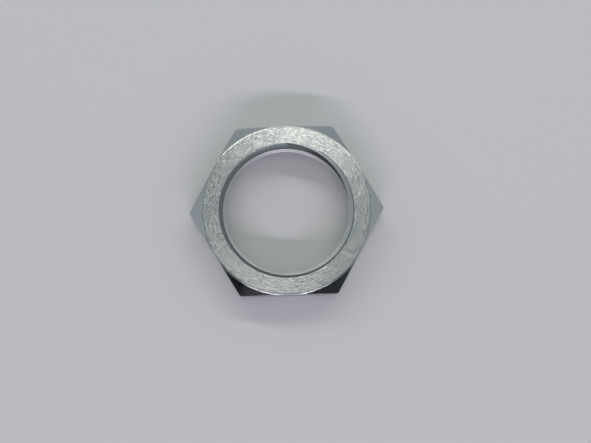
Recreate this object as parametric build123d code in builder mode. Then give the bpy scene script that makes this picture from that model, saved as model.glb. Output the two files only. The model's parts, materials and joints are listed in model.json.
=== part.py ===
"""Hexagonal jam nut, 1/2-28 UNEF right-hand thread, 5/8 in across flats, 1/8 in thick.

One solid piece of zinc-plated steel, turned and tapped from hexagon bar. The origin is on
the thread axis, in the plane of the underside, and +Z runs up through the bore. Two corners
of the hexagon lie on the X axis. All lengths are in millimetres and angles in degrees.
"""

import os
from math import cos, radians, tan

from build123d import *

# Hexagon bar
across_flats = 15.875
thickness = 3.175
corner_radius = 0.30

# Turned chamfers that take the six corners off both faces
chamfer_slope = 25.0
chamfer_circle_inset = 0.02  # from the middle of a flat in to the circle where the cone starts

# Right-hand unified thread
major_diameter = 12.70
pitch = 25.4 / 28
flank_angle = 30.0
root_flat = pitch / 8
crest_flat = pitch / 4
runout_angle = 92.3  # where the middle of the groove comes out of the top face, from +X

# Countersinks that lead the thread in from both faces
countersink_angle = 90.0
countersink_diameter = 12.75

# Thread depth, from the flats at the root and the crest and the slope of the flanks
groove_mouth = pitch - crest_flat
groove_depth = (groove_mouth - root_flat) / 2 / tan(radians(flank_angle))
minor_radius = major_diameter / 2 - groove_depth

# The tap that cuts the thread: a core at the minor diameter, with one helical tooth round
# it. The tooth starts a pitch below the underside and ends a pitch above the top face.
with BuildPart() as tap:
    with BuildSketch(Plane.XY.offset(-2 * pitch)):
        Circle(minor_radius)
    extrude(amount=thickness + 4 * pitch)

    with BuildLine():
        Helix(
            pitch=pitch,
            height=thickness + 2 * pitch,
            radius=minor_radius,
            center=(0, 0, -pitch),
        )
    # Section of the tooth, measured out from the minor radius. Its flanks run on into the
    # core, and stay clear of the next turn there.
    tooth_base = -crest_flat / 2
    half_base = groove_mouth / 2 - tooth_base * tan(radians(flank_angle))
    tooth_plane = Plane(origin=(minor_radius, 0, -pitch), x_dir=(1, 0, 0), z_dir=(0, -1, 0))
    with BuildSketch(tooth_plane):
        with BuildLine():
            Polyline(
                (tooth_base, -half_base),
                (groove_depth, -root_flat / 2),
                (groove_depth, root_flat / 2),
                (tooth_base, half_base),
                close=True,
            )
        make_face()
    sweep(is_frenet=True)

with BuildPart() as jam_nut:
    with BuildSketch():
        RegularPolygon(radius=across_flats / 2, side_count=6, major_radius=False)
    extrude(amount=thickness)
    fillet(jam_nut.edges().filter_by(Axis.Z), radius=corner_radius)

    # Both faces are cut alike, by the mirror image in the plane halfway up
    halfway_up = Plane.XZ.offset(-thickness / 2)

    # Corner chamfers: a triangular ring that reaches out to the sharp corners
    circle_radius = across_flats / 2 - chamfer_circle_inset
    corner_distance = across_flats / 2 / cos(radians(30))
    chamfer_drop = (corner_distance - circle_radius) * tan(radians(chamfer_slope))
    with BuildSketch(Plane.XZ):
        with BuildLine():
            Polyline(
                (circle_radius, thickness),
                (corner_distance, thickness),
                (corner_distance, thickness - chamfer_drop),
                close=True,
            )
        make_face()
        mirror(about=halfway_up)
    revolve(axis=Axis.Z, mode=Mode.SUBTRACT)

    # Countersinks: a cone that comes to its point on the axis
    countersink_radius = countersink_diameter / 2
    cone_depth = countersink_radius / tan(radians(countersink_angle / 2))
    with BuildSketch(Plane.XZ):
        with BuildLine():
            Polyline(
                (0, thickness),
                (countersink_radius, thickness),
                (0, thickness - cone_depth),
                close=True,
            )
        make_face()
        mirror(about=halfway_up)
    revolve(axis=Axis.Z, mode=Mode.SUBTRACT)

    # The tap is turned about its axis, so that its groove leaves the top face in its place
    tap_angle = runout_angle - 360 * (thickness + pitch) / pitch
    add(tap.part, rotation=(0, 0, tap_angle), mode=Mode.SUBTRACT)

jam_nut.part.label = "jam_nut"

os.makedirs("parts", exist_ok=True)
export_step(jam_nut.part, "parts/jam_nut.step")
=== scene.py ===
"""A hexagonal jam nut of zinc-plated steel, lying flat on a pale table.

The nut is one piece. It is made here in the order in which it is made at the bench: a slice
is cut from hexagon bar, both faces are turned, and the hole is tapped. Lengths are in metres.
"""
import json
from math import cos, degrees, exp, pi, radians, sin, tan

import bmesh
import bpy
from mathutils import Euler, Matrix, Quaternion, Vector, noise


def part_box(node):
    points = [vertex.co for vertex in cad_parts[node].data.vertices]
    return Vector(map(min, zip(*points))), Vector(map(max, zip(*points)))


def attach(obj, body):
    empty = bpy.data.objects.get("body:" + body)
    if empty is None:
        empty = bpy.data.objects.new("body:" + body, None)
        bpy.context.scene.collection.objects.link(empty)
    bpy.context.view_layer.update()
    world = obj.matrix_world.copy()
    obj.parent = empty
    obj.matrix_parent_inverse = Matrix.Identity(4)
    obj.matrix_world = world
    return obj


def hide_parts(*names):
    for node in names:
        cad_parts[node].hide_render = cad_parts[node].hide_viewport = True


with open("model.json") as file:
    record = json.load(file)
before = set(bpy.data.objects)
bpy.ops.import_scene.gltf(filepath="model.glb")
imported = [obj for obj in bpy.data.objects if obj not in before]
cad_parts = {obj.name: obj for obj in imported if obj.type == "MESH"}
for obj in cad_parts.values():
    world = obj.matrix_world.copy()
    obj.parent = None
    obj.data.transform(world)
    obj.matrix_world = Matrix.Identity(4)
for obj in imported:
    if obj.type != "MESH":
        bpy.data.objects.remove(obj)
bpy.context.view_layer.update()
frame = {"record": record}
mm = 0.001


# Hexagon bar. The nut starts as a slice of cold-drawn steel bar, cut a little too thick. Its
# six flats stay as drawn, with the edges between them slightly rounded.
low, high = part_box("jam_nut")
thickness = high.z - low.z
across_flats = high.y - low.y
corner_distance = across_flats / 2 / cos(radians(30))
corner_radius = 0.30 * mm
facing_allowance = 0.5 * mm


def zinc_plate(name, roughness, anisotropic, grain, depth):
    """Bright zinc plate over steel: pale grey metal with fine crystals and faint stains. The
    grain is the size of the crystals, and the depth is their height."""
    material = bpy.data.materials.new(name)
    material.use_nodes = True
    nodes = material.node_tree.nodes
    links = material.node_tree.links
    shader = nodes["Principled BSDF"]
    shader.inputs["Metallic"].default_value = 1.0
    shader.inputs["Anisotropic"].default_value = anisotropic
    place = nodes.new("ShaderNodeTexCoord").outputs["Object"]

    crystals = nodes.new("ShaderNodeTexNoise")
    crystals.inputs["Scale"].default_value = 1 / grain
    crystals.inputs["Detail"].default_value = 3.0
    crystals.inputs["Roughness"].default_value = 0.6
    links.new(place, crystals.inputs["Vector"])

    stains = nodes.new("ShaderNodeTexNoise")
    stains.inputs["Scale"].default_value = 1 / (1.6 * mm)
    stains.inputs["Detail"].default_value = 4.0
    links.new(place, stains.inputs["Vector"])
    color = nodes.new("ShaderNodeValToRGB")
    color.name = "stained"
    color.color_ramp.elements[0].position = 0.30
    color.color_ramp.elements[0].color = (0.465, 0.495, 0.495, 1)
    color.color_ramp.elements[1].position = 0.70
    color.color_ramp.elements[1].color = (0.525, 0.55, 0.55, 1)
    links.new(stains.outputs["Fac"], color.inputs["Fac"])
    links.new(color.outputs["Color"], shader.inputs["Base Color"])

    polish = nodes.new("ShaderNodeMapRange")
    polish.name = "polish"
    polish.inputs["To Min"].default_value = roughness * 0.75
    polish.inputs["To Max"].default_value = roughness * 1.25
    links.new(crystals.outputs["Fac"], polish.inputs["Value"])
    links.new(polish.outputs["Result"], shader.inputs["Roughness"])

    relief = nodes.new("ShaderNodeBump")
    relief.name = "relief"
    relief.inputs["Strength"].default_value = 1.0
    relief.inputs["Distance"].default_value = depth
    links.new(crystals.outputs["Fac"], relief.inputs["Height"])
    links.new(relief.outputs["Normal"], shader.inputs["Normal"])
    return material


def piece_of(name, bm, material):
    """An object made from a finished bmesh."""
    mesh = bpy.data.meshes.new(name)
    bm.to_mesh(mesh)
    bm.free()
    mesh.materials.append(material)
    made = bpy.data.objects.new(name, mesh)
    bpy.context.collection.objects.link(made)
    return made


drawn_zinc = zinc_plate(
    "zinc_on_drawn_flats", roughness=0.24, anisotropic=0.0, grain=0.15 * mm, depth=0.004 * mm
)

bm = bmesh.new()
bmesh.ops.create_circle(bm, cap_ends=True, segments=6, radius=corner_distance)
flats_to_y = Matrix.Rotation(radians(30), 3, "Z")
bmesh.ops.rotate(bm, verts=bm.verts, cent=(0, 0, 0), matrix=flats_to_y)
bmesh.ops.bevel(
    bm,
    geom=bm.verts[:],
    offset=corner_radius * tan(radians(30)),
    offset_type="OFFSET",
    segments=6,
    profile=0.5,
    affect="VERTICES",
    material=-1,
)
slab = bmesh.ops.extrude_face_region(bm, geom=bm.faces[:])
raised = [v for v in slab["geom"] if isinstance(v, bmesh.types.BMVert)]
bmesh.ops.translate(bm, verts=bm.verts, vec=(0, 0, -facing_allowance))
bmesh.ops.translate(bm, verts=raised, vec=(0, 0, thickness + 2 * facing_allowance))
bmesh.ops.recalc_face_normals(bm, faces=bm.faces)
nut = piece_of("nut", bm, drawn_zinc)


# Turned faces. Both ends of the slice are faced, the six corners are chamfered to a circle,
# and the hole is drilled and countersunk. The faces keep round tool marks under the zinc. A
# narrow rim and a narrower lip are rolled over between each face and its chamfer.
thread_mount = next(m for m in frame["record"]["mounts"] if m["name"] == "thread")
minor_radius = thread_mount["dims"]["r_mm"] * mm
countersink_radius = 6.375 * mm
drill_radius = minor_radius - 0.35 * mm
chamfer_radius = across_flats / 2 + 0.09 * mm
clear_of_bar = corner_distance + 0.5 * mm
chamfer_slope = tan(radians(25))
countersink_depth = countersink_radius - drill_radius
mouth_rounding = 0.012 * mm
rim_width = 0.11 * mm
rim_drop = rim_width * tan(radians(19))
rim_rounding = 0.030 * mm
lip_width = 0.06 * mm
lip_drop = lip_width * tan(radians(27))
lip_rounding = 0.025 * mm
chamfer_drop = (clear_of_bar - chamfer_radius) * chamfer_slope
turning_steps = 240

faced_zinc = zinc_plate(
    "zinc_on_turned_faces", roughness=0.25, anisotropic=0.76, grain=0.14 * mm, depth=0.0006 * mm
)
nodes = faced_zinc.node_tree.nodes
links = faced_zinc.node_tree.links
shader = nodes["Principled BSDF"]

# The metal is brushed round the axis, so it shines in fans that point outwards
place = nodes.new("ShaderNodeTexCoord").outputs["Object"]
flatten = nodes.new("ShaderNodeVectorMath")
flatten.operation = "MULTIPLY"
flatten.inputs[1].default_value = (1, 1, 0)
links.new(place, flatten.inputs[0])
outward = nodes.new("ShaderNodeVectorMath")
outward.operation = "NORMALIZE"
links.new(flatten.outputs["Vector"], outward.inputs[0])
links.new(outward.outputs["Vector"], shader.inputs["Tangent"])

# Round tool marks: a noise that is fine across the marks and long round them
mark_width = 0.13 * mm
mark_depth = 0.008 * mm
radius = nodes.new("ShaderNodeVectorMath")
radius.operation = "LENGTH"
links.new(flatten.outputs["Vector"], radius.inputs[0])
along = nodes.new("ShaderNodeVectorMath")
along.operation = "SCALE"
along.inputs["Scale"].default_value = 8.0
links.new(outward.outputs["Vector"], along.inputs[0])
across = nodes.new("ShaderNodeCombineXYZ")
rings = nodes.new("ShaderNodeMath")
rings.operation = "MULTIPLY"
rings.inputs[1].default_value = 1 / mark_width
links.new(radius.outputs["Value"], rings.inputs[0])
links.new(rings.outputs["Value"], across.inputs["Z"])
wound = nodes.new("ShaderNodeVectorMath")
wound.operation = "ADD"
links.new(along.outputs["Vector"], wound.inputs[0])
links.new(across.outputs["Vector"], wound.inputs[1])
marks = nodes.new("ShaderNodeTexNoise")
marks.inputs["Scale"].default_value = 1.0
marks.inputs["Detail"].default_value = 1.0
links.new(wound.outputs["Vector"], marks.inputs["Vector"])
scored = nodes.new("ShaderNodeBump")
scored.inputs["Strength"].default_value = 1.0
scored.inputs["Distance"].default_value = mark_depth
links.new(marks.outputs["Fac"], scored.inputs["Height"])
links.new(scored.outputs["Normal"], nodes["relief"].inputs["Normal"])

# Short pits among the marks, where the zinc is brighter and smoother or duller and rougher
shorter = nodes.new("ShaderNodeVectorMath")
shorter.operation = "MULTIPLY"
shorter.inputs[1].default_value = (3.0, 3.0, 1.2)
links.new(wound.outputs["Vector"], shorter.inputs[0])
pits = nodes.new("ShaderNodeTexNoise")
pits.inputs["Scale"].default_value = 1.0
pits.inputs["Detail"].default_value = 2.0
pits.inputs["Roughness"].default_value = 0.6
links.new(shorter.outputs["Vector"], pits.inputs["Vector"])
worn = nodes.new("ShaderNodeMapRange")
worn.inputs["From Min"].default_value = 0.30
worn.inputs["From Max"].default_value = 0.70
worn.inputs["To Min"].default_value = 0.78
worn.inputs["To Max"].default_value = 1.22
links.new(pits.outputs["Fac"], worn.inputs["Value"])
streaked = nodes.new("ShaderNodeVectorMath")
streaked.operation = "SCALE"
links.new(nodes["stained"].outputs["Color"], streaked.inputs[0])
links.new(worn.outputs["Result"], streaked.inputs["Scale"])
links.new(streaked.outputs["Vector"], shader.inputs["Base Color"])
polish = nodes["polish"]
polish.inputs["From Min"].default_value = 0.30
polish.inputs["From Max"].default_value = 0.70
polish.inputs["To Min"].default_value = 0.267
polish.inputs["To Max"].default_value = 0.233
links.new(pits.outputs["Fac"], polish.inputs["Value"])

cut_zinc = zinc_plate(
    "zinc_on_cut_cones", roughness=0.06, anisotropic=0.0, grain=0.12 * mm, depth=0.0005 * mm
)

bm = bmesh.new()
lip_radius = chamfer_radius - lip_width
lip_height = thickness - rim_drop
chamfer_height = lip_height - lip_drop
half_section = [
    (drill_radius, thickness - countersink_depth),
    (countersink_radius, thickness),
    (lip_radius - rim_width, thickness),
    (lip_radius, lip_height),
    (chamfer_radius, chamfer_height),
    (clear_of_bar, chamfer_height - chamfer_drop),
]
section = half_section + [(r, thickness - z) for r, z in reversed(half_section)]
corners = [bm.verts.new((r, 0, z)) for r, z in section]
bm.faces.new(corners)
mouths = [corners[1], corners[-2]]
rims = [corners[2], corners[-3]]
lips = [corners[3], corners[-4]]
for rounded, rounding in ((mouths, mouth_rounding), (rims, rim_rounding), (lips, lip_rounding)):
    bmesh.ops.bevel(
        bm,
        geom=rounded,
        offset=rounding,
        offset_type="OFFSET",
        segments=5,
        profile=0.5,
        affect="VERTICES",
        material=-1,
    )
outline = bm.edges[:]
bmesh.ops.delete(bm, geom=bm.faces[:], context="FACES_ONLY")
bmesh.ops.spin(
    bm,
    geom=bm.verts[:] + outline,
    cent=(0, 0, 0),
    axis=(0, 0, 1),
    angle=2 * pi,
    steps=turning_steps,
    use_merge=True,
)
bmesh.ops.remove_doubles(bm, verts=bm.verts, dist=0.0005 * mm)
bmesh.ops.recalc_face_normals(bm, faces=bm.faces)

# Handling has knocked the rims: they waver all round, and three nicks are deeper. Bearings
# and the nicks' width are in degrees.
waver_depth = 0.008 * mm
waviness = 20
nick_width = 1.4
nicks = ((94, 0.04 * mm), (223, 0.04 * mm), (22, 0.03 * mm))
for vert in bm.verts:
    reach = vert.co.xy.length
    if lip_radius - rim_width / 2 < reach < chamfer_radius - lip_width / 4:
        bearing = vert.co.xy.angle_signed(Vector((1, 0)))
        round_rim = Vector((waviness * cos(bearing), waviness * sin(bearing), vert.co.z / mm))
        knock = waver_depth * noise.noise(round_rim)
        for nick, depth in nicks:
            apart = (degrees(bearing) - nick + 180) % 360 - 180
            knock += depth * exp(-((apart / nick_width) ** 2))
        vert.co.xy *= 1 - knock / reach

for face in bm.faces:
    middle = face.calc_center_median().xy.length
    face.material_index = 0 if countersink_radius < middle < chamfer_radius else 1
turned_form = piece_of("turned_form", bm, faced_zinc)
turned_form.data.materials.append(cut_zinc)


# Thread. A tap cuts a right-hand unified thread of 28 turns to the inch. The tap is its tooth
# outline wound up the axis, and it is sawn off square beyond both faces. Its core opens the
# drilled hole to the size of the thread's crests.
pitch = 25.4 * mm / 28
root_flat = pitch / 8
crest_flat = pitch / 4
groove_mouth = pitch - crest_flat
groove_depth = (groove_mouth - root_flat) / 2 / tan(radians(30))
major_radius = minor_radius + groove_depth
runout_angle = 75.0
turns = 7
turns_below_runout = 5
steps_per_turn = 240
sawn_beyond = 0.6 * mm

thread_zinc = zinc_plate(
    "zinc_on_thread", roughness=0.50, anisotropic=0.0, grain=0.12 * mm, depth=0.004 * mm
)

bm = bmesh.new()
tooth = [
    (minor_radius, -pitch / 2),
    (minor_radius, -groove_mouth / 2),
    (major_radius, -root_flat / 2),
    (major_radius, root_flat / 2),
    (minor_radius, groove_mouth / 2),
    (minor_radius, pitch / 2),
]
start = thickness - pitch * (turns_below_runout + runout_angle / 360)
points = [bm.verts.new((r, 0, start + z)) for r, z in tooth]
for one, other in zip(points, points[1:]):
    bm.edges.new((one, other))
bmesh.ops.spin(
    bm,
    geom=bm.verts[:] + bm.edges[:],
    cent=(0, 0, 0),
    axis=(0, 0, 1),
    dvec=(0, 0, pitch / steps_per_turn),
    angle=2 * pi * turns,
    steps=turns * steps_per_turn,
)
bmesh.ops.remove_doubles(bm, verts=bm.verts, dist=0.001 * mm)
for height, side in ((-sawn_beyond, -1), (thickness + sawn_beyond, 1)):
    cut = bmesh.ops.bisect_plane(
        bm,
        geom=bm.verts[:] + bm.edges[:] + bm.faces[:],
        dist=0.00001 * mm,
        plane_co=(0, 0, height),
        plane_no=(0, 0, side),
        clear_outer=True,
    )
    sawn = [e for e in cut["geom_cut"] if isinstance(e, bmesh.types.BMEdge)]
    bmesh.ops.edgeloop_fill(bm, edges=sawn)
bmesh.ops.recalc_face_normals(bm, faces=bm.faces)
tap = piece_of("tap", bm, thread_zinc)

# The bar keeps what lies inside the turned form, and loses what the tap takes
for tool, operation in ((turned_form, "INTERSECT"), (tap, "DIFFERENCE")):
    cutting = nut.modifiers.new(tool.name, "BOOLEAN")
    cutting.object = tool
    cutting.operation = operation
    cutting.solver = "EXACT"
    cutting.material_mode = "TRANSFER"
bpy.context.view_layer.update()
depsgraph = bpy.context.evaluated_depsgraph_get()
finished = bpy.data.meshes.new_from_object(nut.evaluated_get(depsgraph))
nut.modifiers.clear()
nut.data = finished
for tool in (turned_form, tap):
    bpy.data.objects.remove(tool)

# Edges stay crisp where they are sharp, where the finish changes and round the flat faces
smooth_below = radians(20)
level = 0.9999
bm = bmesh.new()
bm.from_mesh(nut.data)
bmesh.ops.remove_doubles(bm, verts=bm.verts, dist=0.001 * mm)
for face in bm.faces:
    face.smooth = True
for edge in bm.edges:
    one, other = edge.link_faces
    same_finish = one.material_index == other.material_index
    same_level = (abs(one.normal.z) > level) == (abs(other.normal.z) > level)
    edge.smooth = same_finish and same_level and edge.calc_face_angle(pi) < smooth_below
bm.to_mesh(nut.data)
bm.free()
shading = nut.modifiers.new("even_shading", "WEIGHTED_NORMAL")
shading.keep_sharp = True

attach(nut, "root")
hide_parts("jam_nut")


# Table. A smooth pale grey sheet, far wider than the view, that the nut rests on.
table_material = bpy.data.materials.new("pale_grey_sheet")
table_material.use_nodes = True
table_shader = table_material.node_tree.nodes["Principled BSDF"]
table_shader.inputs["Base Color"].default_value = (0.70, 0.708, 0.72, 1)
table_shader.inputs["Roughness"].default_value = 0.7

bm = bmesh.new()
bmesh.ops.create_circle(bm, cap_ends=True, segments=64, radius=1.0)
table = piece_of("table", bm, table_material)


# Light. A small soft lamp hangs over the nut beside the camera, and two long lamps hang
# across the table, one behind the nut and one in front of it. The room is pale, with a dark
# strip high up at the front and a dimmer corner at the left of that.
def soft_lamp(name, place, size, color, power, turn=0):
    """A lamp that faces the nut. A single size is a round lamp, and two are a long one, which
    may be turned about its own middle."""
    lamp = bpy.data.lights.new(name, "AREA")
    lamp.shape = "RECTANGLE" if len(size) == 2 else "DISK"
    lamp.size = size[0]
    if len(size) == 2:
        lamp.size_y = size[1]
    lamp.color = color
    lamp.energy = power
    holder = bpy.data.objects.new(name, lamp)
    holder.location = place
    facing = Vector(place).to_track_quat("Z", "Y")
    holder.rotation_euler = (facing @ Quaternion((0, 0, 1), radians(turn))).to_euler()
    bpy.context.collection.objects.link(holder)


soft_lamp("key_lamp", (0.006, 0.083, 0.40), size=(0.050,), color=(1.0, 1.0, 0.92), power=0.032)
soft_lamp(
    "back_lamp",
    (0.012, 0.339, 0.40),
    size=(0.76, 0.055),
    color=(1.0, 0.985, 0.83),
    power=0.77,
    turn=-9.2,
)
soft_lamp(
    "front_lamp",
    (-0.004, -0.502, 0.40),
    size=(0.67, 0.024),
    color=(1.0, 0.87, 1.0),
    power=1.27,
    turn=-4.7,
)

room = bpy.data.worlds.new("room")
bpy.context.scene.world = room
room.use_nodes = True
nodes = room.node_tree.nodes
links = room.node_tree.links
direction = nodes.new("ShaderNodeTexCoord").outputs["Generated"]
height = nodes.new("ShaderNodeSeparateXYZ")
links.new(direction, height.inputs["Vector"])

# The dark strip: it fades in towards the front, and runs between two heights
front = nodes.new("ShaderNodeMapRange")
front.inputs["From Min"].default_value = -0.28
front.inputs["From Max"].default_value = -0.40
links.new(height.outputs["Y"], front.inputs["Value"])
strip = nodes.new("ShaderNodeValToRGB")
strip.color_ramp.elements[0].position = 0.635
strip.color_ramp.elements[0].color = (0, 0, 0, 1)
strip.color_ramp.elements[1].position = 0.80
strip.color_ramp.elements[1].color = (0, 0, 0, 1)
darkest = 0.93
for position in (0.655, 0.775):
    strip.color_ramp.elements.new(position).color = (darkest, darkest, darkest, 1)
links.new(height.outputs["Z"], strip.inputs["Fac"])
dark = nodes.new("ShaderNodeMath")
dark.operation = "MULTIPLY"
links.new(front.outputs["Result"], dark.inputs[0])
links.new(strip.outputs["Color"], dark.inputs[1])

# The dimmer corner, round one direction in the room
toward = nodes.new("ShaderNodeVectorMath")
toward.operation = "DOT_PRODUCT"
toward.inputs[1].default_value = (-0.74, -0.62, 0.25)
links.new(direction, toward.inputs[0])
side = nodes.new("ShaderNodeMapRange")
side.inputs["From Min"].default_value = 0.86
side.inputs["From Max"].default_value = 0.94
side.inputs["To Min"].default_value = 1.0
side.inputs["To Max"].default_value = 0.42
links.new(toward.outputs["Value"], side.inputs["Value"])
screen = nodes.new("ShaderNodeMath")
screen.operation = "SUBTRACT"
links.new(side.outputs["Result"], screen.inputs[0])
links.new(dark.outputs["Value"], screen.inputs[1])
screen.use_clamp = True

# The walls: greys that change with height, from the horizon up to the ceiling
walls = nodes.new("ShaderNodeValToRGB")
walls.color_ramp.interpolation = "EASE"
bands = walls.color_ramp.elements
bands[0].position = 0.0
bands[0].color = (0.19, 0.20, 0.215, 1)
bands[1].position = 1.0
bands[1].color = (0.262, 0.283, 0.302, 1)
for position, grey in (
    (0.18, 0.20),
    (0.35, 0.80),
    (0.42, 0.76),
    (0.515, 0.42),
    (0.60, 0.50),
    (0.67, 0.41),
    (0.74, 0.345),
):
    bands.new(position).color = (grey * 0.93, grey, grey * 1.08, 1)
links.new(height.outputs["Z"], walls.inputs["Fac"])
sky = nodes["Background"]
links.new(walls.outputs["Color"], sky.inputs["Color"])
links.new(screen.outputs["Value"], sky.inputs["Strength"])


# Camera. It looks almost straight down, leaning a few degrees towards the near flat.
aim = Vector((0.808, -0.765, 0)) * mm
distance = 115.2 * mm
look = Euler((radians(6.5), 0.0, radians(-1.8)), "XYZ")
eye = bpy.data.cameras.new("eye")
eye.lens = 72.9
eye.sensor_width = 36
eye.clip_start = 0.01
eye.clip_end = 10
camera = bpy.data.objects.new("camera", eye)
camera.rotation_euler = look
camera.location = aim + look.to_matrix() @ Vector((0, 0, distance))
bpy.context.collection.objects.link(camera)
bpy.context.scene.camera = camera
bpy.context.scene.view_settings.view_transform = "Standard"
